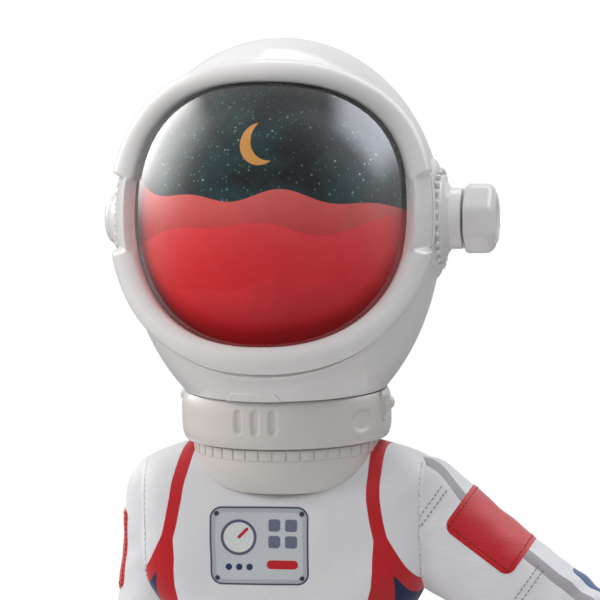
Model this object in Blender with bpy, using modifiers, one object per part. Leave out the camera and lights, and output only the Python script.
"""Articulated action figure in a space suit, with a helmet whose inner picture visor turns on a side knob.

Metres, +Z up. The figure stands on its boot soles, faces -Y, and its left side is +X.
"""
import math

import bmesh
import bpy
from mathutils import Matrix, Vector

# Clearances between pieces
FIT_GAP = 0.0003
TURN_GAP = 0.0004

# Legs, from the ground up
SOLE_HEIGHT = 0.0027
BOOT_TOP = 0.0320
KNEE_HEIGHT = 0.0590
THIGH_LENGTH = 0.0440
HIP_HALF_SPAN = 0.0102
BOOT_HALF_WIDTH = 0.0083
BOOT_HALF_LENGTH = 0.0190
BOOT_TOE_SHIFT = 0.0065
BOOT_SHAFT_RADIUS = 0.0086
TOE_ROUND = 0.0006
INSTEP_DRAW = 0.0050
INSTEP_SHIFT = 0.0030
ANKLE_DRAW = 0.0010
WELT = 0.0004
SHIN_SEAT = 0.0120

# Trousers and the plastic legs inside them
CLOTH_WALL = 0.0008
HIP_CLOTH_RADIUS = 0.0098
KNEE_CLOTH_RADIUS = 0.0092
ANKLE_CLOTH_RADIUS = 0.0086
THIGH_SHAFT_RADIUS = 0.0055
SHIN_SHAFT_RADIUS = 0.0052

# Torso
TORSO_RISE = 0.0662
PELVIS_HEIGHT = 0.0075
WEB_HALF_WIDTH = 0.0022
CORE_HALF_WIDTH = 0.0122
CORE_HALF_DEPTH = 0.0100
CORE_WAIST_HALF_WIDTH = 0.0130
CORE_WAIST_HALF_DEPTH = 0.0094
CORE_WALL = 0.0018
WAIST_DROP = 0.0060
CHEST_DROP = 0.0030
CHEST_LEAN = 0.0004
HEM_HALF_WIDTH = 0.0175
HEM_HALF_DEPTH = 0.0130
WAIST_HALF_WIDTH = 0.0152
WAIST_HALF_DEPTH = 0.0118
CHEST_HALF_WIDTH = 0.0140
CHEST_HALF_DEPTH = 0.0128
YOKE_HALF_WIDTH = 0.0240
YOKE_HALF_DEPTH = 0.0130
YOKE_RISE = 0.0050
CREST_RISE = 0.0100
CREST_DRAW = 0.0030
NECK_DRAW = 0.0055
NECK_EASE = 0.0020
NECK_LEAN = 0.0008
SCREW_RADIUS = 0.0009
SCREW_HEAD_RADIUS = 0.0018
SCREW_HEAD_HEIGHT = 0.0010
BOSS_WALL = 0.0012
UPPER_SCREW_DROP = 0.0080
LOWER_SCREW_RISE = 0.0100

# Arms
SHOULDER_DROP = 0.0050
SHOULDER_HALF_SPAN = 0.0240
UPPER_ARM_LENGTH = 0.0400
FOREARM_LENGTH = 0.0310
LEFT_ARM_SPREAD = math.radians(54.0)
RIGHT_ARM_SPREAD = math.radians(5.0)
SWING_FORWARD = math.radians(60.0)
SWING_BACK = math.radians(30.0)
SLEEVE_SLACK = 0.0006
SHOULDER_CLOTH_RADIUS = 0.0094
ELBOW_CLOTH_RADIUS = 0.0084
WRIST_CLOTH_RADIUS = 0.0074
UPPER_ARM_SHAFT_RADIUS = 0.0050
FOREARM_SHAFT_RADIUS = 0.0046
HUB_SHAFT_RADIUS = 0.0018
HUB_FLANGE_RADIUS = 0.0028
HUB_FLANGE_WIDTH = 0.0015
TONGUE_WIDTH = 0.0024
TONGUE_RADIUS = 0.0042
TONGUE_ARM_HALF = 0.0020
TONGUE_STEP = 0.0002
PIN_RADIUS = 0.0012
WRIST_PEG_RADIUS = 0.0020
WRIST_PEG_LENGTH = 0.0050
GLOVE_WRIST_RADIUS = 0.0053
CUFF_WALL = 0.0016
CUFF_LENGTH = 0.0057
PALM_LENGTH = 0.0120
PALM_WIDTH = 0.0140
PALM_THICKNESS = 0.0068
FINGER_RADIUS = 0.0018
FINGER_LENGTH = 0.0105

# Collar and neck
BIB_RADIUS = 0.0146
COLLAR_RADIUS = 0.0178
COLLAR_WALL = 0.0017
BIB_HEIGHT = 0.0069
NOTCH_RING_HEIGHT = 0.0023
NOTCH_LEDGE = 0.0008
LEDGE_FALL = 0.0004
NOTCH_COUNT = 42
NOTCH_WIDTH = 0.0006
NOTCH_HEIGHT = 0.0017
NOTCH_DEPTH = 0.0006
NECK_RING_RADIUS = 0.0198
NECK_RING_HEIGHT = 0.0089
NECK_RING_WALL = 0.0018
RING_SLOT_WIDTH = 0.0015
RING_SLOT_PITCH = 0.0033
RING_SLOT_TURN = math.radians(9.0)
NECK_RADIUS = 0.0070
NECK_POST_RADIUS = 0.0040
LATCH_PROUD = 0.0018

# Helmet, round the axis of its two side hubs
HELMET_HALF_WIDTH = 0.0300
HELMET_HALF_DEPTH = 0.0325
HELMET_CROWN = 0.0340
HELMET_RIM_DROP = 0.0318
HELMET_WALL = 0.0016
HELMET_SEAM = 0.0060
WINDOW_HALF_WIDTH = 0.0254
WINDOW_HALF_HEIGHT = 0.0236
WINDOW_RAISE = 0.0031
WINDOW_POWER = 2.3
FRAME_TUBE_RADIUS = 0.0026
EAR_PROUD = 0.0019
EAR_HALF_HEIGHT = 0.0058
EAR_STEP = 0.0006
HUB_DISC_RADIUS = 0.0092
HUB_DISC_PROUD = 0.0016
HUB_BOSS_RADIUS = 0.0052
HUB_BOSS_LENGTH = 0.0026
HUB_CAP_RADIUS = 0.0056
HUB_CAP_HEIGHT = 0.0021
LENS_WALL = 0.0010
LENS_LAP = 0.0014
PICTURE_WALL = 0.0010
PICTURE_CLEARANCE = 0.0007
PICTURE_RISE_ANGLE = math.radians(62.0)
PICTURE_DROP_ANGLE = math.radians(50.0)
PICTURE_EAR_RADIUS = 0.0042
PICTURE_EAR_WIDTH = 0.0022
PICTURE_EAR_GAP = 0.0010
SPINDLE_RADIUS = 0.0020
KNOB_RADIUS = 0.0062
KNOB_LENGTH = 0.0060
KNOB_SCREW_RADIUS = 0.0026
KNOB_SCREW_HEIGHT = 0.0013
SKULL_HALF_WIDTH = 0.0098
SKULL_HALF_DEPTH = 0.0120
SKULL_HALF_HEIGHT = 0.0125
SKULL_DROP = 0.0040
SKULL_BACK = 0.0005
JAW_SHARE = 0.8
JAW_DROP = 0.0100
JAW_FORWARD = 0.0025
NOSE_HALF_WIDTH = 0.0016
NOSE_HALF_DEPTH = 0.0020
NOSE_HALF_HEIGHT = 0.0028
NOSE_RISE = 0.0035

# How finely round shapes are cut
DOME_SEGMENTS = 24
DOME_RINGS = 16
CLOTH_SEGMENTS = 16
LOFT_SEGMENTS = 24
ROD_SEGMENTS = 12

# Heights that follow from the sizes above
HIP_HEIGHT = KNEE_HEIGHT + THIGH_LENGTH
HEM_HEIGHT = HIP_HEIGHT + HIP_CLOTH_RADIUS + 2 * FIT_GAP
PELVIS_TOP = HEM_HEIGHT + PELVIS_HEIGHT
TORSO_TOP = HIP_HEIGHT + TORSO_RISE
SHOULDER_HEIGHT = TORSO_TOP - SHOULDER_DROP
BIB_BASE = TORSO_TOP + FIT_GAP
NOTCH_BASE = BIB_BASE + BIB_HEIGHT
COLLAR_TOP = NOTCH_BASE + NOTCH_RING_HEIGHT
NECK_RING_BASE = COLLAR_TOP + FIT_GAP
NECK_RING_TOP = NECK_RING_BASE + NECK_RING_HEIGHT
HELMET_RIM = NECK_RING_TOP + FIT_GAP
HUB_HEIGHT = HELMET_RIM + HELMET_RIM_DROP

# The dome narrows below its hubs so that its rim meets the neck ring
HELMET_MEAN_HALF = (HELMET_HALF_WIDTH + HELMET_HALF_DEPTH) / 2
HELMET_DROP = HELMET_RIM_DROP / math.sqrt(1.0 - (NECK_RING_RADIUS / HELMET_MEAN_HALF) ** 2)

# Fits that follow from the sizes above
SHOULDER_BALL = SHOULDER_CLOTH_RADIUS - CLOTH_WALL - TURN_GAP
ELBOW_BALL = ELBOW_CLOTH_RADIUS - CLOTH_WALL - TURN_GAP
HIP_BALL = HIP_CLOTH_RADIUS - CLOTH_WALL - TURN_GAP
KNEE_BALL = KNEE_CLOTH_RADIUS - CLOTH_WALL - TURN_GAP
SLOT_WIDTH = TONGUE_WIDTH + 2 * TURN_GAP
BORE_RADIUS = SPINDLE_RADIUS + TURN_GAP
HUB_FACE = HELMET_HALF_WIDTH + HUB_DISC_PROUD
BOSS_FACE = HUB_FACE + HUB_BOSS_LENGTH
KNOB_FACE = BOSS_FACE + TURN_GAP + KNOB_LENGTH
LENS_SET = HELMET_WALL + FIT_GAP
PICTURE_SET = LENS_SET + LENS_WALL + PICTURE_CLEARANCE
PICTURE_RADIUS = min(HELMET_HALF_DEPTH, HELMET_CROWN) - PICTURE_SET
PICTURE_EAR_FACE = HELMET_HALF_WIDTH - HELMET_WALL - PICTURE_EAR_GAP
FAR = 0.2


def clear_scene():
    for old in list(bpy.data.objects):
        bpy.data.objects.remove(old, do_unlink=True)


clear_scene()
PARTS = bpy.data.collections.new("action_figure")
CUTTERS = bpy.data.collections.new("cutters")
bpy.context.scene.collection.children.link(PARTS)
bpy.context.scene.collection.children.link(CUTTERS)


def finish(name, colour, roughness, metallic=0.0, alpha=1.0):
    """A Principled material with the given colour and gloss."""
    made = bpy.data.materials.new(name)
    made.use_nodes = True
    shader = made.node_tree.nodes["Principled BSDF"]
    shader.inputs["Base Color"].default_value = (*colour, 1.0)
    shader.inputs["Roughness"].default_value = roughness
    shader.inputs["Metallic"].default_value = metallic
    shader.inputs["Alpha"].default_value = alpha
    return made


GLOSS_WHITE = finish("gloss_white_abs", (0.80, 0.79, 0.78), 0.2)
WARM_WHITE = finish("warm_white_abs", (0.63, 0.60, 0.58), 0.3)
CLEAR = finish("clear_styrene", (0.90, 0.93, 0.95), 0.05, alpha=0.25)
PICTURE = finish("printed_sheet", (0.42, 0.05, 0.05), 0.3)
SUIT_CLOTH = finish("white_twill", (0.80, 0.80, 0.82), 0.8)
BODY_PLASTIC = finish("grey_abs", (0.45, 0.45, 0.47), 0.5)
SKIN_PLASTIC = finish("skin_vinyl", (0.62, 0.38, 0.28), 0.5)
GLOVE_RUBBER = finish("glove_vinyl", (0.72, 0.72, 0.73), 0.6)
BOOT_RUBBER = finish("boot_vinyl", (0.70, 0.70, 0.71), 0.5)
SOLE_RUBBER = finish("sole_rubber", (0.10, 0.11, 0.13), 0.8)
STEEL = finish("steel", (0.55, 0.55, 0.57), 0.35, metallic=1.0)


def joint_frame(name, parent, place, turn_y=0.0):
    """An empty on a joint's axis, which carries the pieces that turn there."""
    frame = bpy.data.objects.new(name, None)
    PARTS.objects.link(frame)
    frame.parent = parent
    frame.location = place
    frame.rotation_euler = (0.0, turn_y, 0.0)
    return frame


def to_mesh(name, bm):
    """A smooth-shaded mesh from bm, with its faces pointing out."""
    bmesh.ops.recalc_face_normals(bm, faces=bm.faces)
    mesh = bpy.data.meshes.new(name)
    bm.to_mesh(mesh)
    bm.free()
    mesh.shade_smooth()
    mesh.set_sharp_from_angle(angle=math.radians(35.0))
    return mesh


def add_part(name, bm, parent, material):
    part = bpy.data.objects.new(name, to_mesh(name, bm))
    part.data.materials.append(material)
    PARTS.objects.link(part)
    part.parent = parent
    return part


def add_cutter(name, bm, parent):
    cutter = bpy.data.objects.new(name, to_mesh(name, bm))
    CUTTERS.objects.link(cutter)
    cutter.parent = parent
    cutter.hide_render = True
    cutter.display_type = "WIRE"
    return cutter


def combine(target, tool, operation):
    """Cut, join or keep the overlap of target and tool."""
    step = target.modifiers.new(tool.name, "BOOLEAN")
    step.object = tool
    step.operation = operation
    step.solver = "EXACT"


def cut(target, *tools):
    for tool in tools:
        combine(target, tool, "DIFFERENCE")


def join(target, *tools):
    for tool in tools:
        combine(target, tool, "UNION")


def ball(radius, centre=(0.0, 0.0, 0.0), segments=12, rings=8):
    bm = bmesh.new()
    bmesh.ops.create_uvsphere(bm, u_segments=segments, v_segments=rings, radius=radius)
    bmesh.ops.translate(bm, vec=centre, verts=bm.verts)
    return bm


def egg(half_sizes, centre):
    """A ball stretched to three half sizes."""
    bm = ball(1.0)
    bmesh.ops.scale(bm, vec=half_sizes, verts=bm.verts)
    bmesh.ops.translate(bm, vec=centre, verts=bm.verts)
    return bm


def rod(radius, start, end, segments=ROD_SEGMENTS, end_radius=None):
    """A round rod or cone between two points."""
    start = Vector(start)
    axis = Vector(end) - start
    bm = bmesh.new()
    last = radius if end_radius is None else end_radius
    bmesh.ops.create_cone(bm, cap_ends=True, segments=segments, radius1=radius, radius2=last,
                          depth=axis.length)
    turn = Vector((0.0, 0.0, 1.0)).rotation_difference(axis).to_matrix().to_4x4()
    bmesh.ops.transform(bm, matrix=Matrix.Translation(start + axis / 2) @ turn, verts=bm.verts)
    return bm


def block(low, high):
    """A box between two corners."""
    low = Vector(low)
    high = Vector(high)
    bm = bmesh.new()
    bmesh.ops.create_cube(bm, size=1.0)
    bmesh.ops.scale(bm, vec=high - low, verts=bm.verts)
    bmesh.ops.translate(bm, vec=(low + high) / 2, verts=bm.verts)
    return bm


def prism(outline, reach):
    """A flat outline pushed along the vector reach."""
    bm = bmesh.new()
    face = bm.faces.new([bm.verts.new(point) for point in outline])
    pushed = bmesh.ops.extrude_face_region(bm, geom=[face])
    moved = [item for item in pushed["geom"] if isinstance(item, bmesh.types.BMVert)]
    bmesh.ops.translate(bm, vec=reach, verts=moved)
    return bm


def signed_power(value, power):
    return math.copysign(abs(value) ** power, value)


def oval(half_a, half_b, power, count):
    """Points of a superellipse, as pairs."""
    points = []
    for index in range(count):
        angle = math.tau * index / count
        across = half_a * signed_power(math.cos(angle), 2 / power)
        along = half_b * signed_power(math.sin(angle), 2 / power)
        points.append((across, along))
    return points


def loft(sections, power=2.5, count=LOFT_SEGMENTS):
    """A closed solid through level ovals, each (height, half width, half depth, shift along Y)."""
    bm = bmesh.new()
    rings = []
    for height, half_width, half_depth, shift in sections:
        points = oval(half_width, half_depth, power, count)
        rings.append([bm.verts.new((x, y + shift, height)) for x, y in points])
    for lower, upper in zip(rings, rings[1:]):
        for index in range(count):
            after = (index + 1) % count
            bm.faces.new((lower[index], lower[after], upper[after], upper[index]))
    bm.faces.new(rings[0])
    bm.faces.new(rings[-1])
    return bm


def profile(points, closed):
    """A line of (radius, height) points in the XZ plane."""
    bm = bmesh.new()
    verts = [bm.verts.new((radius, 0.0, height)) for radius, height in points]
    for first, second in zip(verts, verts[1:]):
        bm.edges.new((first, second))
    if closed:
        bm.edges.new((verts[-1], verts[0]))
    return bm


def turn(part, steps):
    """Turn a part's profile once round its Z axis."""
    spin = part.modifiers.new("turn", "SCREW")
    spin.axis = "Z"
    spin.angle = math.tau
    spin.steps = steps
    spin.render_steps = steps
    spin.use_merge_vertices = True
    spin.merge_threshold = 0.00001


def turned_ring(name, points, parent, material, steps=LOFT_SEGMENTS):
    part = add_part(name, profile(points, True), parent, material)
    turn(part, steps)
    return part


def cloth_tube(name, points, parent):
    """A sewn tube: a turned open profile with the cloth's thickness inside it."""
    part = add_part(name, profile(points, False), parent, SUIT_CLOTH)
    turn(part, CLOTH_SEGMENTS)
    wall = part.modifiers.new("cloth", "SOLIDIFY")
    wall.thickness = CLOTH_WALL
    wall.offset = -1.0
    return part


def cap_arc(radius, first, count=4):
    """Points of a round cap, from its opening at angle first down to its equator."""
    points = []
    for index in range(count):
        angle = first + (math.pi / 2 - first) * index / (count - 1)
        points.append((radius * math.sin(angle), radius * math.cos(angle)))
    return points


# Frames that carry the pieces
root = joint_frame("figure", None, (0.0, 0.0, 0.0))
head_turn = joint_frame("helmet_turn", root, (0.0, 0.0, 0.0))
helmet = joint_frame("helmet_hubs", head_turn, (0.0, 0.0, HUB_HEIGHT))
visor_turn = joint_frame("visor_turn", head_turn, (0.0, 0.0, HUB_HEIGHT))


def dome(offset):
    """The helmet's outer form, grown or shrunk by offset: a crown above the hubs, a longer drop below."""
    bm = ball(1.0, segments=DOME_SEGMENTS, rings=DOME_RINGS)
    for vert in bm.verts:
        height = HELMET_CROWN if vert.co.z >= 0.0 else HELMET_DROP
        vert.co.x *= HELMET_HALF_WIDTH + offset
        vert.co.y *= HELMET_HALF_DEPTH + offset
        vert.co.z *= height + offset
    return bm


def window_outline(grow, y):
    points = oval(WINDOW_HALF_WIDTH + grow, WINDOW_HALF_HEIGHT + grow, WINDOW_POWER, 32)
    return [(x, y, z + WINDOW_RAISE) for x, z in points]


def dome_front(x, z, offset):
    """The Y of the helmet's front at x, z."""
    height = HELMET_CROWN if z >= 0.0 else HELMET_DROP
    square = 1.0 - (x / (HELMET_HALF_WIDTH + offset)) ** 2 - (z / (height + offset)) ** 2
    return -(HELMET_HALF_DEPTH + offset) * math.sqrt(max(square, 0.0))


hub_bore = add_cutter("hub_bore", rod(BORE_RADIUS, (-FAR, 0.0, 0.0), (FAR, 0.0, 0.0)), helmet)


def build_helmet_shells():
    """Front and rear halves of the white helmet, parted behind the hubs."""
    hollow = add_cutter("helmet_hollow", dome(-HELMET_WALL), helmet)
    below = add_cutter("below_rim", block((-FAR, -FAR, -FAR), (FAR, FAR, -HELMET_RIM_DROP)), helmet)
    half_gap = FIT_GAP / 2
    rear_half = add_cutter("rear_half", block((-FAR, HELMET_SEAM - half_gap, -FAR), (FAR, FAR, FAR)), helmet)
    before_seam = block((-FAR, -FAR, -FAR), (FAR, HELMET_SEAM + half_gap, FAR))
    front_half = add_cutter("front_half", before_seam, helmet)
    window = add_cutter("window", prism(window_outline(0.0, -FAR), (0.0, FAR, 0.0)), helmet)
    front = add_part("helmet_front_shell", dome(0.0), helmet, GLOSS_WHITE)
    cut(front, hollow, below, rear_half, window, hub_bore)
    rear = add_part("helmet_rear_shell", dome(0.0), helmet, GLOSS_WHITE)
    cut(rear, hollow, below, front_half)


def build_lens():
    """Clear bubble held behind the window's edge."""
    lens = add_part("visor_lens", dome(-LENS_SET), helmet, CLEAR)
    inside = add_cutter("lens_inside", dome(-LENS_SET - LENS_WALL), helmet)
    depth = FAR - PICTURE_EAR_RADIUS - 2 * PICTURE_CLEARANCE
    outline = prism(window_outline(LENS_LAP, -FAR), (0.0, depth, 0.0))
    blank = add_cutter("lens_blank", outline, helmet)
    cut(lens, inside)
    combine(lens, blank, "INTERSECT")


def frame_tube():
    """The window's fat round rim, swept along the window's edge on the helmet."""
    reach = FRAME_TUBE_RADIUS * 0.75
    path = []
    for x, _, z in window_outline(reach, 0.0):
        path.append((x, dome_front(x, z, 0.0), z))
    curve = bpy.data.curves.new("rim_path", "CURVE")
    curve.dimensions = "3D"
    curve.bevel_depth = FRAME_TUBE_RADIUS
    curve.bevel_resolution = 2
    line = curve.splines.new("POLY")
    line.points.add(len(path) - 1)
    for point, place in zip(line.points, path):
        point.co = (*place, 1.0)
    line.use_cyclic_u = True
    holder = bpy.data.objects.new("rim_path", curve)
    CUTTERS.objects.link(holder)
    bpy.context.view_layer.update()
    ready = holder.evaluated_get(bpy.context.evaluated_depsgraph_get())
    mesh = bpy.data.meshes.new_from_object(ready)
    bm = bmesh.new()
    bm.from_mesh(mesh)
    bmesh.ops.remove_doubles(bm, verts=bm.verts, dist=0.00001)
    bpy.data.objects.remove(holder, do_unlink=True)
    return bm


def ear_outline(x):
    """A plate that tapers from the rim to a round end at the hub, seen from the side."""
    points = []
    steps = 8
    radius = HUB_DISC_RADIUS - EAR_STEP
    for index in range(steps + 1):
        angle = math.pi * (index / steps - 0.5)
        points.append((x, radius * math.cos(angle), radius * math.sin(angle)))
    rim = dome_front(WINDOW_HALF_WIDTH, 0.0, 0.0)
    points.append((x, rim, EAR_HALF_HEIGHT))
    points.append((x, rim, -EAR_HALF_HEIGHT))
    return points


def build_frame():
    """White window rim with its two ears, hub discs and the knob's boss."""
    frame = add_part("visor_frame", frame_tube(), helmet, GLOSS_WHITE)
    skin = add_cutter("ear_skin", dome(EAR_PROUD), helmet)
    seat = add_cutter("frame_seat", dome(FIT_GAP), helmet)
    for side, name in ((1, "left"), (-1, "right")):
        ear_root = HELMET_HALF_WIDTH * 0.5
        plate = prism(ear_outline(side * ear_root), (side * HELMET_HALF_WIDTH, 0.0, 0.0))
        ear = add_cutter("ear_" + name, plate, helmet)
        combine(ear, skin, "INTERSECT")
        disc_root = HELMET_HALF_WIDTH * 0.6
        disc = rod(HUB_DISC_RADIUS, (side * disc_root, 0.0, 0.0), (side * HUB_FACE, 0.0, 0.0), segments=20)
        join(frame, ear, add_cutter("hub_disc_" + name, disc, helmet))
    boss_root = HELMET_HALF_WIDTH * 0.7
    boss = rod(HUB_BOSS_RADIUS, (boss_root, 0.0, 0.0), (BOSS_FACE, 0.0, 0.0), segments=20)
    join(frame, add_cutter("knob_boss", boss, helmet))
    cut(frame, seat, hub_bore)


def build_hub_cap():
    """Low cap over the pivot on the figure's right side."""
    foot = -HUB_FACE - FIT_GAP
    top = foot - HUB_CAP_HEIGHT
    cap_end = HUB_CAP_RADIUS * 0.75
    cap = rod(HUB_CAP_RADIUS, (foot, 0.0, 0.0), (top, 0.0, 0.0), segments=24, end_radius=cap_end)
    add_part("hub_cap", cap, helmet, GLOSS_WHITE)


def side_ball(half_width, radius):
    """A ball stretched along X, with its poles on the hub axis."""
    bm = ball(1.0, segments=20, rings=14)
    bmesh.ops.rotate(bm, matrix=Matrix.Rotation(math.pi / 2, 3, "Y"), verts=bm.verts)
    bmesh.ops.scale(bm, vec=(half_width, radius, radius), verts=bm.verts)
    return bm


def picture_wedge():
    """The wedge round the hub axis that the picture visor fills."""
    radius = HELMET_HALF_DEPTH * 1.6
    points = [(-FAR / 2, PICTURE_EAR_RADIUS * 0.8, 0.0)]
    steps = 6
    for index in range(steps + 1):
        angle = -PICTURE_DROP_ANGLE + (PICTURE_RISE_ANGLE + PICTURE_DROP_ANGLE) * index / steps
        points.append((-FAR / 2, -radius * math.cos(angle), radius * math.sin(angle)))
    return prism(points, (FAR, 0.0, 0.0))


def build_picture_visor():
    """Printed inner visor that turns up and back inside the dome, with its pivots and knob."""
    half_width = PICTURE_EAR_FACE - PICTURE_EAR_WIDTH * 0.7
    visor = add_part("scene_visor", side_ball(half_width, PICTURE_RADIUS), visor_turn, PICTURE)
    inside = side_ball(half_width - PICTURE_WALL, PICTURE_RADIUS - PICTURE_WALL)
    cut(visor, add_cutter("visor_inside", inside, visor_turn))
    combine(visor, add_cutter("visor_wedge", picture_wedge(), visor_turn), "INTERSECT")
    for side, name in ((1, "left"), (-1, "right")):
        face = side * PICTURE_EAR_FACE
        ear = rod(PICTURE_EAR_RADIUS, (face - side * PICTURE_EAR_WIDTH, 0.0, 0.0), (face, 0.0, 0.0))
        join(visor, add_cutter("visor_ear_" + name, ear, visor_turn))

    inner_end = PICTURE_EAR_FACE + FIT_GAP
    screw_seat = KNOB_FACE - KNOB_SCREW_HEIGHT - FIT_GAP
    spindle = rod(SPINDLE_RADIUS, (inner_end, 0.0, 0.0), (screw_seat - FIT_GAP, 0.0, 0.0))
    add_part("visor_spindle", spindle, visor_turn, STEEL)
    pin = rod(SPINDLE_RADIUS, (-inner_end, 0.0, 0.0), (-HUB_FACE + FIT_GAP, 0.0, 0.0))
    add_part("visor_pivot_pin", pin, visor_turn, STEEL)

    knob_foot = BOSS_FACE + TURN_GAP
    knob = rod(KNOB_RADIUS, (knob_foot, 0.0, 0.0), (KNOB_FACE, 0.0, 0.0), segments=24)
    part = add_part("visor_knob", knob, visor_turn, GLOSS_WHITE)
    through = rod(SPINDLE_RADIUS + FIT_GAP, (knob_foot - FIT_GAP, 0.0, 0.0), (KNOB_FACE + FIT_GAP, 0.0, 0.0))
    sink_radius = KNOB_SCREW_RADIUS + FIT_GAP
    sink = rod(sink_radius, (screw_seat - FIT_GAP, 0.0, 0.0), (KNOB_FACE + FIT_GAP, 0.0, 0.0))
    cut(part, add_cutter("knob_bore", through, visor_turn), add_cutter("knob_sink", sink, visor_turn))
    head = rod(KNOB_SCREW_RADIUS, (screw_seat, 0.0, 0.0), (screw_seat + KNOB_SCREW_HEIGHT, 0.0, 0.0))
    add_part("knob_screw", head, visor_turn, STEEL)


def build_head():
    """Vinyl head on a hollow neck that turns on the neck post."""
    crown = (0.0, SKULL_BACK, HUB_HEIGHT - SKULL_DROP)
    jaw = (0.0, -JAW_FORWARD, HUB_HEIGHT - JAW_DROP)
    skull = egg((SKULL_HALF_WIDTH, SKULL_HALF_DEPTH, SKULL_HALF_HEIGHT), crown)
    head = add_part("head", skull, head_turn, SKIN_PLASTIC)
    jaw_depth = SKULL_HALF_DEPTH * JAW_SHARE
    chin = egg((SKULL_HALF_WIDTH * JAW_SHARE, jaw_depth, SKULL_HALF_HEIGHT * JAW_SHARE), jaw)
    nose_tip = (0.0, jaw[1] - jaw_depth, jaw[2] + NOSE_RISE)
    nose = egg((NOSE_HALF_WIDTH, NOSE_HALF_DEPTH, NOSE_HALF_HEIGHT), nose_tip)
    neck_foot = BIB_BASE + FIT_GAP
    neck = rod(NECK_RADIUS, (0.0, 0.0, neck_foot), (0.0, 0.0, jaw[2]))
    join(head, add_cutter("chin", chin, head_turn), add_cutter("nose", nose, head_turn))
    join(head, add_cutter("neck", neck, head_turn))
    bore_top = (0.0, 0.0, post_top() + TURN_GAP)
    bore = rod(NECK_POST_RADIUS + TURN_GAP, (0.0, 0.0, neck_foot - FIT_GAP), bore_top)
    cut(head, add_cutter("neck_bore", bore, head_turn))


def post_top():
    return HELMET_RIM + NECK_RADIUS


def build_neck_ring():
    """Band under the helmet with three slots in front, which turns on the collar."""
    top = NECK_RING_TOP
    base = NECK_RING_BASE
    taper = NECK_RING_RADIUS - COLLAR_RADIUS
    floor = base + NECK_RING_WALL
    points = [
        (NECK_RING_RADIUS, top),
        (NECK_RING_RADIUS, top - NECK_RING_HEIGHT * 0.6),
        (NECK_RING_RADIUS - taper, base),
        (NECK_RADIUS + FIT_GAP, base),
        (NECK_RADIUS + FIT_GAP, floor),
        (NECK_RING_RADIUS - taper - NECK_RING_WALL, floor),
        (NECK_RING_RADIUS - NECK_RING_WALL, top - NECK_RING_HEIGHT * 0.6),
        (NECK_RING_RADIUS - NECK_RING_WALL, top),
    ]
    ring = turned_ring("neck_ring", points, head_turn, WARM_WHITE, steps=24)
    middle = base + NECK_RING_HEIGHT * 0.5
    half_height = NECK_RING_HEIGHT * 0.25
    for index in (-1, 0, 1):
        centre = index * RING_SLOT_PITCH
        low = (centre - RING_SLOT_WIDTH / 2, -FAR, middle - half_height)
        high = (centre + RING_SLOT_WIDTH / 2, -NECK_RING_RADIUS + NECK_RING_WALL * 0.45, middle + half_height)
        slot = block(low, high)
        bmesh.ops.rotate(slot, matrix=Matrix.Rotation(-RING_SLOT_TURN, 3, "Z"), verts=slot.verts)
        cut(ring, add_cutter("ring_slot", slot, head_turn))
    for turn, name in ((0.0, "left"), (math.pi, "right")):
        inner = NECK_RING_RADIUS + FIT_GAP
        low = (inner, -NECK_RADIUS / 2, middle)
        high = (inner + LATCH_PROUD, 0.0, top - FIT_GAP)
        latch = block(low, high)
        bmesh.ops.rotate(latch, matrix=Matrix.Rotation(turn - RING_SLOT_TURN, 3, "Z"), verts=latch.verts)
        bevel = add_part("collar_latch_" + name, latch, head_turn, WARM_WHITE).modifiers.new("soft", "BEVEL")
        bevel.width = LATCH_PROUD * 0.3
        bevel.segments = 2


def collar_points(grow):
    """Outer side of the collar from its top to its bib, grown by a gap."""
    lip = COLLAR_RADIUS + grow
    return [
        (lip, COLLAR_TOP),
        (lip, NOTCH_BASE),
        (lip - NOTCH_LEDGE, NOTCH_BASE - LEDGE_FALL),
        ((lip + BIB_RADIUS + grow) / 2, BIB_BASE + BIB_HEIGHT * 0.3),
        (BIB_RADIUS + grow, BIB_BASE),
    ]


def build_collar():
    """Collar with a row of square teeth, parted by narrow notches, over a smooth bib; fixed on the torso."""
    outer = collar_points(0.0)
    inner = [(radius - COLLAR_WALL, height) for radius, height in reversed(outer)]
    collar = turned_ring("collar_bib", outer + inner, root, WARM_WHITE, steps=24)
    notches = bmesh.new()
    for index in range(NOTCH_COUNT):
        spot = Matrix.Rotation(math.tau * (index + 0.5) / NOTCH_COUNT, 4, "Z")
        middle = (COLLAR_RADIUS, 0.0, NOTCH_BASE + NOTCH_RING_HEIGHT / 2)
        size = Matrix.Diagonal((2 * NOTCH_DEPTH, NOTCH_WIDTH, NOTCH_HEIGHT, 1.0))
        bmesh.ops.create_cube(notches, size=1.0, matrix=spot @ Matrix.Translation(middle) @ size)
    cut(collar, add_cutter("collar_notches", notches, root))


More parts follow.
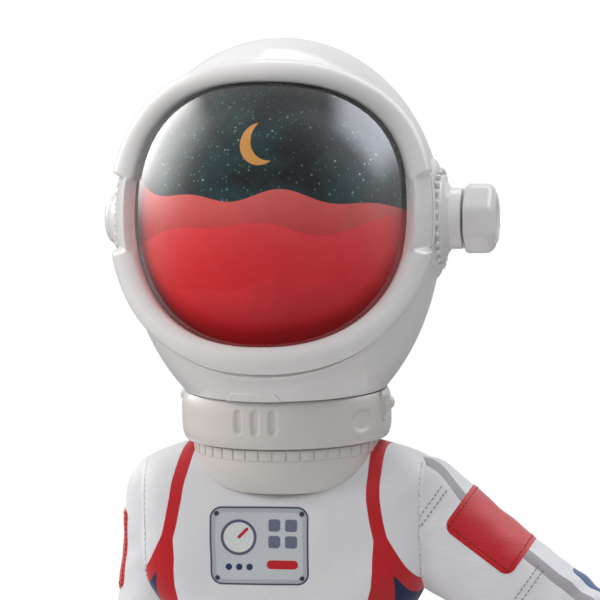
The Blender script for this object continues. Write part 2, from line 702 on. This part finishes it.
def suit_sections(inset):
    """Level ovals of the suit from its hem to the neck, drawn in by inset."""
    chest = SHOULDER_HEIGHT - SHOULDER_CLOTH_RADIUS
    waist = (HEM_HEIGHT + chest) / 2 - WAIST_DROP
    crest = SHOULDER_HEIGHT + CREST_RISE
    top = NOTCH_BASE + FIT_GAP
    rows = [
        (HEM_HEIGHT, HEM_HALF_WIDTH, HEM_HALF_DEPTH, 0.0),
        (waist, WAIST_HALF_WIDTH, WAIST_HALF_DEPTH, 0.0),
        (chest - CHEST_DROP, CHEST_HALF_WIDTH, CHEST_HALF_DEPTH - CHEST_LEAN, -CHEST_LEAN),
        (SHOULDER_HEIGHT - CHEST_DROP, CHEST_HALF_WIDTH, CHEST_HALF_DEPTH, -CHEST_LEAN),
        (SHOULDER_HEIGHT + YOKE_RISE, YOKE_HALF_WIDTH, YOKE_HALF_DEPTH, 0.0),
        (crest, YOKE_HALF_WIDTH - SLEEVE_SLACK, YOKE_HALF_DEPTH - CREST_DRAW, CHEST_LEAN),
        (top, COLLAR_RADIUS + NECK_EASE, YOKE_HALF_DEPTH - NECK_DRAW, NECK_LEAN),
    ]
    drawn = [(height, width - inset, depth - inset, shift) for height, width, depth, shift in rows]
    last = drawn[-1]
    drawn[-1] = (last[0] - inset, last[1], last[2], last[3])
    return drawn


def arm_path(side, name):
    """The room that a swinging sleeve needs beside the torso, as a ball and a fan below it."""
    centre = Vector((side * SHOULDER_HALF_SPAN, 0.0, SHOULDER_HEIGHT))
    reach = SHOULDER_CLOTH_RADIUS + TURN_GAP
    inner = centre.x - side * (reach - SLEEVE_SLACK)
    fan = []
    for angle, lean in ((SWING_FORWARD, -1), (SWING_BACK, 1)):
        along = Vector((0.0, lean * math.sin(angle), -math.cos(angle)))
        across = Vector((0.0, lean * math.cos(angle), math.sin(angle)))
        near = Vector((inner, 0.0, SHOULDER_HEIGHT)) + across * reach
        pair = [near, near + along * FAR / 2]
        fan.extend(pair if lean < 0 else reversed(pair))
    path = add_cutter("arm_path_" + name, prism(fan, (side * FAR, 0.0, 0.0)), root)
    return add_cutter("armhole_" + name, ball(reach, centre, segments=20, rings=14), root), path


def build_suit_torso():
    """Sewn body of the suit from the hips to the collar, open at the neck, arms and hem."""
    suit = add_part("suit_torso", loft(suit_sections(0.0)), root, SUIT_CLOTH)
    hollow = suit_sections(CLOTH_WALL)
    hollow[0] = (HEM_HEIGHT - CLOTH_WALL, *hollow[0][1:])
    cut(suit, add_cutter("suit_hollow", loft(hollow), root))
    seat = [(0.0, COLLAR_TOP)] + collar_points(FIT_GAP) + [(0.0, BIB_BASE)]
    neck = add_cutter("collar_seat", profile(seat, False), root)
    turn(neck, 24)
    cut(suit, neck)
    eyelet = TONGUE_ARM_HALF + 2 * TURN_GAP
    hub_holes = rod(eyelet, (-FAR, 0.0, SHOULDER_HEIGHT), (FAR, 0.0, SHOULDER_HEIGHT))
    cut(suit, add_cutter("hub_holes", hub_holes, root))
    for side, name in ((1, "left"), (-1, "right")):
        cut(suit, *arm_path(side, name))


def core_sections(inset):
    """Level ovals of the hard torso inside the suit."""
    base = PELVIS_TOP + FIT_GAP
    middle = (base + SHOULDER_HEIGHT) / 2
    half_width = CORE_HALF_WIDTH - inset
    half_depth = CORE_HALF_DEPTH - inset
    return [
        (base + inset, CORE_WAIST_HALF_WIDTH - inset, CORE_WAIST_HALF_DEPTH - inset, 0.0),
        (middle, half_width, half_depth, 0.0),
        (SHOULDER_HEIGHT, half_width, half_depth, 0.0),
        (TORSO_TOP - inset, half_width, half_depth, 0.0),
    ]


def screw_places():
    """Where the four body screws run, as X and height."""
    upper = SHOULDER_HEIGHT - UPPER_SCREW_DROP
    lower = PELVIS_TOP + LOWER_SCREW_RISE
    places = []
    for height in (upper, lower):
        for side in (1, -1):
            places.append((side * CORE_WAIST_HALF_WIDTH * 0.6, height))
    return places


def build_torso_core():
    """Front and back halves of the hard torso, with the four screws that hold them."""
    half_gap = FIT_GAP / 2
    hollow = add_cutter("core_hollow", loft(core_sections(CORE_WALL), power=3.0), root)
    front_half = add_cutter("core_front_half", block((-FAR, -FAR, -FAR), (FAR, half_gap, FAR)), root)
    back_half = add_cutter("core_back_half", block((-FAR, -half_gap, -FAR), (FAR, FAR, FAR)), root)
    post_base = TORSO_TOP - 2 * CORE_WALL
    post = rod(NECK_POST_RADIUS + FIT_GAP, (0.0, 0.0, post_base), (0.0, 0.0, TORSO_TOP + FIT_GAP))
    post_hole = add_cutter("post_hole", post, root)
    axle = rod(HUB_SHAFT_RADIUS + TURN_GAP, (-FAR, 0.0, SHOULDER_HEIGHT), (FAR, 0.0, SHOULDER_HEIGHT))
    axle_hole = add_cutter("shoulder_hole", axle, root)
    front = add_part("torso_front", loft(core_sections(0.0), power=3.0), root, BODY_PLASTIC)
    back = add_part("torso_back", loft(core_sections(0.0), power=3.0), root, BODY_PLASTIC)
    cut(front, hollow, back_half, post_hole, axle_hole)
    cut(back, hollow, front_half, post_hole, axle_hole)
    boss_radius = SCREW_RADIUS + FIT_GAP + BOSS_WALL
    shank_end = -CORE_WAIST_HALF_DEPTH + 2 * CORE_WALL
    head_seat = SCREW_HEAD_HEIGHT * 2
    for number, (x, height) in enumerate(screw_places(), start=1):
        boss = rod(boss_radius, (x, -FAR, height), (x, FAR, height), segments=8)
        cut(hollow, add_cutter("screw_boss", boss, root))
        hole_radius = SCREW_RADIUS + FIT_GAP
        hole = rod(hole_radius, (x, shank_end - FIT_GAP, height), (x, head_seat + FIT_GAP, height), 8)
        well = rod(SCREW_HEAD_RADIUS + FIT_GAP, (x, head_seat, height), (x, FAR, height), 8)
        drilled = add_cutter("screw_hole", hole, root)
        cut(front, drilled)
        cut(back, drilled, add_cutter("screw_well", well, root))
        top = head_seat + FIT_GAP
        shank = rod(SCREW_RADIUS, (x, shank_end, height), (x, top + SCREW_HEAD_HEIGHT / 2, height), 8)
        head = rod(SCREW_HEAD_RADIUS, (x, top, height), (x, top + SCREW_HEAD_HEIGHT, height), 8)
        screw = add_part("body_screw_" + str(number), shank, root, STEEL)
        join(screw, add_cutter("screw_head", head, root))


def build_neck_post():
    """Post that carries the head, trapped between the torso halves by its flange."""
    ceiling = TORSO_TOP - CORE_WALL - FIT_GAP
    shaft = rod(NECK_POST_RADIUS, (0.0, 0.0, ceiling - CORE_WALL / 2), (0.0, 0.0, post_top()))
    post = add_part("neck_post", shaft, root, BODY_PLASTIC)
    flange = rod(NECK_POST_RADIUS + CORE_WALL, (0.0, 0.0, ceiling - CORE_WALL), (0.0, 0.0, ceiling))
    join(post, add_cutter("post_flange", flange, root))


def build_pelvis():
    """Hip block with a web between the legs, and the axle that both legs swing on."""
    waist = (CORE_WAIST_HALF_WIDTH, CORE_WAIST_HALF_DEPTH, 0.0)
    pelvis = add_part("pelvis_core", loft([(HEM_HEIGHT, *waist), (PELVIS_TOP, *waist)]), root, BODY_PLASTIC)
    web_low = (-WEB_HALF_WIDTH, -HIP_BALL * 0.7, HIP_HEIGHT - HIP_BALL * 0.7)
    web_high = (WEB_HALF_WIDTH, HIP_BALL * 0.7, PELVIS_TOP - FIT_GAP)
    join(pelvis, add_cutter("hip_web", block(web_low, web_high), root))
    reach = HIP_HALF_SPAN + HIP_BALL * 0.8
    bore = rod(PIN_RADIUS + FIT_GAP, (-FAR, 0.0, HIP_HEIGHT), (FAR, 0.0, HIP_HEIGHT))
    cut(pelvis, add_cutter("axle_bore", bore, root))
    add_part("hip_axle", rod(PIN_RADIUS, (-reach, 0.0, HIP_HEIGHT), (reach, 0.0, HIP_HEIGHT)), root, STEEL)


def axis_rod(radius, half_length, axis, height=0.0):
    """A rod through the joint at a height, along X or Y."""
    step = Vector((half_length, 0.0, 0.0)) if axis == "X" else Vector((0.0, half_length, 0.0))
    middle = Vector((0.0, 0.0, height))
    return rod(radius, middle - step, middle + step, segments=10)


def slab(axis, half_width, low, high):
    """A box across a joint that is thin along X or Y."""
    if axis == "X":
        return block((-half_width, -FAR / 4, low), (half_width, FAR / 4, high))
    return block((-FAR / 4, -half_width, low), (FAR / 4, half_width, high))


def limb_core(name, frame, ball_radius, shaft_radius, shaft_end, slot_axis):
    """Plastic limb: a joint ball with a slot for the tongue above it, on a round shaft."""
    core = add_part(name, ball(ball_radius), frame, BODY_PLASTIC)
    shaft = rod(shaft_radius, (0.0, 0.0, 0.0), (0.0, 0.0, shaft_end), segments=14)
    join(core, add_cutter(name + "_shaft", shaft, frame))
    if slot_axis:
        slot = slab(slot_axis, SLOT_WIDTH / 2, -TONGUE_RADIUS - TURN_GAP, FAR / 4)
        bore = axis_rod(PIN_RADIUS + FIT_GAP, FAR / 4, slot_axis)
        cut(core, add_cutter(name + "_slot", slot, frame), add_cutter(name + "_bore", bore, frame))
    return core


def add_tongue(core, frame, shaft_end, joint):
    """Flat tongue below a limb's shaft, bored for the next joint's pin."""
    half = TONGUE_WIDTH / 2
    thin = half - TONGUE_STEP
    arm = block((-thin, -TONGUE_ARM_HALF, joint), (thin, TONGUE_ARM_HALF, shaft_end + TONGUE_ARM_HALF))
    eye = axis_rod(TONGUE_RADIUS, half, "X", joint)
    bore = axis_rod(PIN_RADIUS + TURN_GAP, FAR / 4, "X", joint)
    join(core, add_cutter(core.name + "_arm", arm, frame), add_cutter(core.name + "_eye", eye, frame))
    cut(core, add_cutter(core.name + "_eye_bore", bore, frame))


def open_flex_side(cloth, frame, joint, radius, flex):
    """Take the cloth away on the side where the next limb folds up to it."""
    clear = joint + radius + TURN_GAP
    low_y, high_y = sorted((0.0, flex * FAR / 4))
    room = block((-FAR / 4, low_y, joint - FAR / 4), (FAR / 4, high_y, clear))
    cut(cloth, add_cutter(cloth.name + "_fold_room", room, frame))


def notch_for_shaft(cloth, frame, shaft_radius, flex):
    """Take a round bite out of the cloth's upper edge, where the shaft above lies when the joint is bent."""
    bite = rod(shaft_radius + 2 * TURN_GAP, (0.0, 0.0, 0.0), (0.0, flex * FAR / 4, 0.0), segments=16)
    cut(cloth, add_cutter(cloth.name + "_bite", bite, frame))


def build_arm(side, name, spread):
    """One arm: shoulder hub, upper arm, forearm and glove, with sleeves and pins."""
    place = (side * SHOULDER_HALF_SPAN, 0.0, SHOULDER_HEIGHT)
    swing = joint_frame("shoulder_swing_" + name, root, place)
    arm = joint_frame("shoulder_spread_" + name, swing, (0.0, 0.0, 0.0), turn_y=-side * spread)
    elbow = joint_frame("elbow_" + name, arm, (0.0, 0.0, -UPPER_ARM_LENGTH))
    wrist = joint_frame("wrist_" + name, elbow, (0.0, 0.0, -FOREARM_LENGTH))
    build_shoulder_hub(side, name, swing)
    build_upper_arm(side, name, arm)
    build_forearm(name, elbow)
    build_glove(side, name, wrist)


def build_shoulder_hub(side, name, swing):
    """Hub that swings in the torso's side and carries the arm on a flat tongue."""
    half = TONGUE_WIDTH / 2
    clear = SHOULDER_CLOTH_RADIUS + TURN_GAP
    wall_inside = SHOULDER_HALF_SPAN - CORE_HALF_WIDTH + CORE_WALL + TURN_GAP
    hub = add_part("shoulder_hub_" + name, axis_rod(TONGUE_RADIUS, half, "Y"), swing, BODY_PLASTIC)
    thin = half - TONGUE_STEP
    arm = block((-clear - half / 2, -thin, -TONGUE_ARM_HALF), (0.0, thin, TONGUE_ARM_HALF))
    bmesh.ops.scale(arm, vec=(side, 1.0, 1.0), verts=arm.verts)
    shaft = rod(HUB_SHAFT_RADIUS, (-side * clear, 0.0, 0.0), (-side * (wall_inside + half), 0.0, 0.0))
    flange_end = -side * (wall_inside + HUB_FLANGE_WIDTH)
    flange = rod(HUB_FLANGE_RADIUS, (-side * wall_inside, 0.0, 0.0), (flange_end, 0.0, 0.0))
    for label, bm in (("arm", arm), ("shaft", shaft), ("flange", flange)):
        join(hub, add_cutter("hub_" + label + "_" + name, bm, swing))
    bore = axis_rod(PIN_RADIUS + TURN_GAP, FAR / 4, "Y")
    cut(hub, add_cutter("hub_bore_" + name, bore, swing))


def build_upper_arm(side, name, arm):
    """Upper arm from the shoulder ball to the elbow tongue, with its sleeve."""
    shaft_end = -UPPER_ARM_LENGTH + ELBOW_BALL + TURN_GAP
    core = limb_core("upper_arm_core_" + name, arm, SHOULDER_BALL, UPPER_ARM_SHAFT_RADIUS, shaft_end, "Y")
    add_tongue(core, arm, shaft_end, -UPPER_ARM_LENGTH)
    add_part("shoulder_pin_" + name, axis_rod(PIN_RADIUS, SHOULDER_BALL * 0.92, "Y"), arm, STEEL)
    points = cap_arc(SHOULDER_CLOTH_RADIUS, math.radians(20.0))
    points.append(((SHOULDER_CLOTH_RADIUS + ELBOW_CLOTH_RADIUS) / 2, -UPPER_ARM_LENGTH * 0.45))
    points.append((ELBOW_CLOTH_RADIUS, -UPPER_ARM_LENGTH + ELBOW_CLOTH_RADIUS + FIT_GAP))
    points.append((ELBOW_CLOTH_RADIUS, -UPPER_ARM_LENGTH + TURN_GAP))
    sleeve = cloth_tube("upper_sleeve_" + name, points, arm)
    half = SLOT_WIDTH / 2
    reach = SHOULDER_CLOTH_RADIUS * 1.2
    slot = block((-reach, -half, -TONGUE_ARM_HALF), (TONGUE_ARM_HALF + TURN_GAP, half, reach))
    bmesh.ops.scale(slot, vec=(side, 1.0, 1.0), verts=slot.verts)
    cut(sleeve, add_cutter("sleeve_slot_" + name, slot, arm))
    open_flex_side(sleeve, arm, -UPPER_ARM_LENGTH, ELBOW_CLOTH_RADIUS, -1)


def build_forearm(name, elbow):
    """Forearm from the elbow ball to the wrist peg, with its sleeve."""
    core = limb_core("forearm_core_" + name, elbow, ELBOW_BALL, FOREARM_SHAFT_RADIUS, -FOREARM_LENGTH, "X")
    peg_end = (0.0, 0.0, -FOREARM_LENGTH - WRIST_PEG_LENGTH)
    peg = rod(WRIST_PEG_RADIUS, (0.0, 0.0, -FOREARM_LENGTH / 2), peg_end)
    join(core, add_cutter("wrist_peg_" + name, peg, elbow))
    add_part("elbow_pin_" + name, axis_rod(PIN_RADIUS, ELBOW_BALL * 0.92, "X"), elbow, STEEL)
    points = [
        (ELBOW_CLOTH_RADIUS, -TURN_GAP),
        (ELBOW_CLOTH_RADIUS, -ELBOW_CLOTH_RADIUS),
        ((ELBOW_CLOTH_RADIUS + WRIST_CLOTH_RADIUS) / 2, -FOREARM_LENGTH * 0.6),
        (WRIST_CLOTH_RADIUS, -FOREARM_LENGTH + TURN_GAP),
    ]
    sleeve = cloth_tube("forearm_sleeve_" + name, points, elbow)
    notch_for_shaft(sleeve, elbow, UPPER_ARM_SHAFT_RADIUS, -1)


def build_glove(side, name, wrist):
    """Vinyl glove with four fingers and a thumb, and its cuff."""
    top = -TURN_GAP
    palm_top = -CUFF_LENGTH
    palm_base = palm_top - PALM_LENGTH
    half_thick = PALM_THICKNESS / 2
    half_wide = PALM_WIDTH / 2
    palm = [
        (palm_base, half_thick * 0.8, half_wide * 0.98, 0.0),
        ((palm_base + palm_top) / 2, half_thick, half_wide, 0.0),
        (palm_top, half_thick * 1.1, half_wide * 0.75, 0.0),
    ]
    glove = add_part("glove_" + name, loft(palm, power=3.0, count=16), wrist, GLOVE_RUBBER)
    heel = (0.0, 0.0, palm_top - half_thick)
    sleeve = rod(GLOVE_WRIST_RADIUS, (0.0, 0.0, top), heel, end_radius=half_thick)
    join(glove, add_cutter("glove_wrist_" + name, sleeve, wrist))
    pitch = (PALM_WIDTH - 2 * FINGER_RADIUS) / 3
    for index in range(4):
        y = -half_wide + FINGER_RADIUS + pitch * index
        root_point = (0.0, y * 0.96, palm_base + FINGER_RADIUS)
        tip = (-side * FINGER_RADIUS * 1.3, y, palm_base - FINGER_LENGTH)
        finger = rod(FINGER_RADIUS * 0.95, root_point, tip, segments=8, end_radius=FINGER_RADIUS * 0.7)
        join(glove, add_cutter("finger_" + name, finger, wrist))
    thumb_root = (0.0, -half_wide + FINGER_RADIUS * 1.5, palm_top - PALM_LENGTH * 0.3)
    thumb_tip = (-side * FINGER_RADIUS * 2, -half_wide - FINGER_RADIUS * 2, palm_base + FINGER_RADIUS)
    thumb = rod(FINGER_RADIUS * 1.2, thumb_root, thumb_tip, segments=8, end_radius=FINGER_RADIUS * 0.8)
    join(glove, add_cutter("thumb_" + name, thumb, wrist))
    socket = rod(WRIST_PEG_RADIUS + TURN_GAP, (0.0, 0.0, FIT_GAP), (0.0, 0.0, -WRIST_PEG_LENGTH - TURN_GAP))
    cut(glove, add_cutter("wrist_socket_" + name, socket, wrist))
    inner = GLOVE_WRIST_RADIUS + FIT_GAP
    points = [
        (inner + CUFF_WALL, top),
        (inner + CUFF_WALL, palm_top + FIT_GAP),
        (inner, palm_top + FIT_GAP),
        (inner, top),
    ]
    turned_ring("glove_cuff_" + name, points, wrist, GLOVE_RUBBER, steps=14)


def build_leg(side, name):
    """One leg: thigh, shin and boot, with trouser legs and the knee pin."""
    hip = joint_frame("hip_" + name, root, (side * HIP_HALF_SPAN, 0.0, HIP_HEIGHT))
    knee = joint_frame("knee_" + name, hip, (0.0, 0.0, -THIGH_LENGTH))
    build_thigh(side, name, hip)
    build_shin(name, knee)
    build_boot(name, knee)


def build_thigh(side, name, hip):
    """Thigh on the hip axle, with its trouser leg."""
    shaft_end = -THIGH_LENGTH + KNEE_BALL + TURN_GAP
    core = limb_core("thigh_core_" + name, hip, HIP_BALL, THIGH_SHAFT_RADIUS, shaft_end, None)
    add_tongue(core, hip, shaft_end, -THIGH_LENGTH)
    bore = axis_rod(PIN_RADIUS + TURN_GAP, FAR / 4, "X")
    inner = -HIP_HALF_SPAN + WEB_HALF_WIDTH + TURN_GAP
    beside = block((-FAR, -FAR, -HIP_CLOTH_RADIUS), (inner, FAR, FAR))
    bmesh.ops.scale(beside, vec=(side, 1.0, 1.0), verts=beside.verts)
    web_side = add_cutter("web_side_" + name, beside, hip)
    cut(core, add_cutter("thigh_bore_" + name, bore, hip), web_side)
    points = cap_arc(HIP_CLOTH_RADIUS, math.radians(20.0))
    points.append(((HIP_CLOTH_RADIUS + KNEE_CLOTH_RADIUS) / 2, -THIGH_LENGTH * 0.4))
    points.append((KNEE_CLOTH_RADIUS, -THIGH_LENGTH + KNEE_CLOTH_RADIUS + FIT_GAP))
    points.append((KNEE_CLOTH_RADIUS, -THIGH_LENGTH + TURN_GAP))
    trouser = cloth_tube("trouser_thigh_" + name, points, hip)
    cut(trouser, web_side)
    open_flex_side(trouser, hip, -THIGH_LENGTH, KNEE_CLOTH_RADIUS, 1)


def build_shin(name, knee):
    """Shin from the knee ball into the boot, with its trouser leg."""
    shaft_end = BOOT_TOP - SHIN_SEAT - KNEE_HEIGHT
    limb_core("shin_core_" + name, knee, KNEE_BALL, SHIN_SHAFT_RADIUS, shaft_end, "X")
    add_part("knee_pin_" + name, axis_rod(PIN_RADIUS, KNEE_BALL * 0.92, "X"), knee, STEEL)
    hem = BOOT_TOP - KNEE_HEIGHT + FIT_GAP
    points = [
        (KNEE_CLOTH_RADIUS, -TURN_GAP),
        (KNEE_CLOTH_RADIUS, -KNEE_CLOTH_RADIUS),
        (ANKLE_CLOTH_RADIUS, hem),
    ]
    trouser = cloth_tube("trouser_shin_" + name, points, knee)
    notch_for_shaft(trouser, knee, THIGH_SHAFT_RADIUS, 1)


def build_boot(name, knee):
    """Vinyl boot with a round toe, a shaft that holds the shin, and a flat sole."""
    ground = -KNEE_HEIGHT
    base = ground + SOLE_HEIGHT + FIT_GAP
    top = ground + BOOT_TOP
    rise = top - base
    toe = -BOOT_TOE_SHIFT
    rows = [
        (base, BOOT_HALF_WIDTH, BOOT_HALF_LENGTH, toe),
        (base + rise * 0.20, BOOT_HALF_WIDTH, BOOT_HALF_LENGTH - TOE_ROUND, toe + WELT),
        (base + rise * 0.36, BOOT_HALF_WIDTH - TOE_ROUND, BOOT_HALF_LENGTH - INSTEP_DRAW, toe + INSTEP_SHIFT),
        (base + rise * 0.55, BOOT_SHAFT_RADIUS - ANKLE_DRAW, BOOT_SHAFT_RADIUS + TOE_ROUND, 0.0),
        (top, BOOT_SHAFT_RADIUS, BOOT_SHAFT_RADIUS, 0.0),
    ]
    boot = add_part("boot_" + name, loft(rows, power=2.3, count=20), knee, BOOT_RUBBER)
    seat = rod(SHIN_SHAFT_RADIUS + FIT_GAP, (0.0, 0.0, top - SHIN_SEAT - FIT_GAP), (0.0, 0.0, top + FIT_GAP))
    cut(boot, add_cutter("shin_seat_" + name, seat, knee))
    outline = oval(BOOT_HALF_WIDTH + WELT, BOOT_HALF_LENGTH + WELT, 2.3, 24)
    sole = [(x, y + toe, ground) for x, y in outline]
    add_part("boot_sole_" + name, prism(sole, (0.0, 0.0, SOLE_HEIGHT)), knee, SOLE_RUBBER)


def centre_on_ground():
    """Move the whole figure so that its box stands centred on the origin."""
    bpy.context.view_layer.update()
    graph = bpy.context.evaluated_depsgraph_get()
    low = Vector((FAR, FAR, FAR))
    high = -low
    for part in PARTS.objects:
        if part.type != "MESH":
            continue
        ready = part.evaluated_get(graph)
        for vert in ready.data.vertices:
            place = ready.matrix_world @ vert.co
            low = Vector(map(min, low, place))
            high = Vector(map(max, high, place))
    root.location = (-(low.x + high.x) / 2, -(low.y + high.y) / 2, -low.z)
    bpy.context.view_layer.update()


build_helmet_shells()
build_lens()
build_frame()
build_hub_cap()
build_picture_visor()
build_head()
build_neck_ring()
build_collar()
build_suit_torso()
build_torso_core()
build_neck_post()
build_pelvis()
build_arm(1, "left", LEFT_ARM_SPREAD)
build_arm(-1, "right", RIGHT_ARM_SPREAD)
build_leg(1, "left")
build_leg(-1, "right")
centre_on_ground()
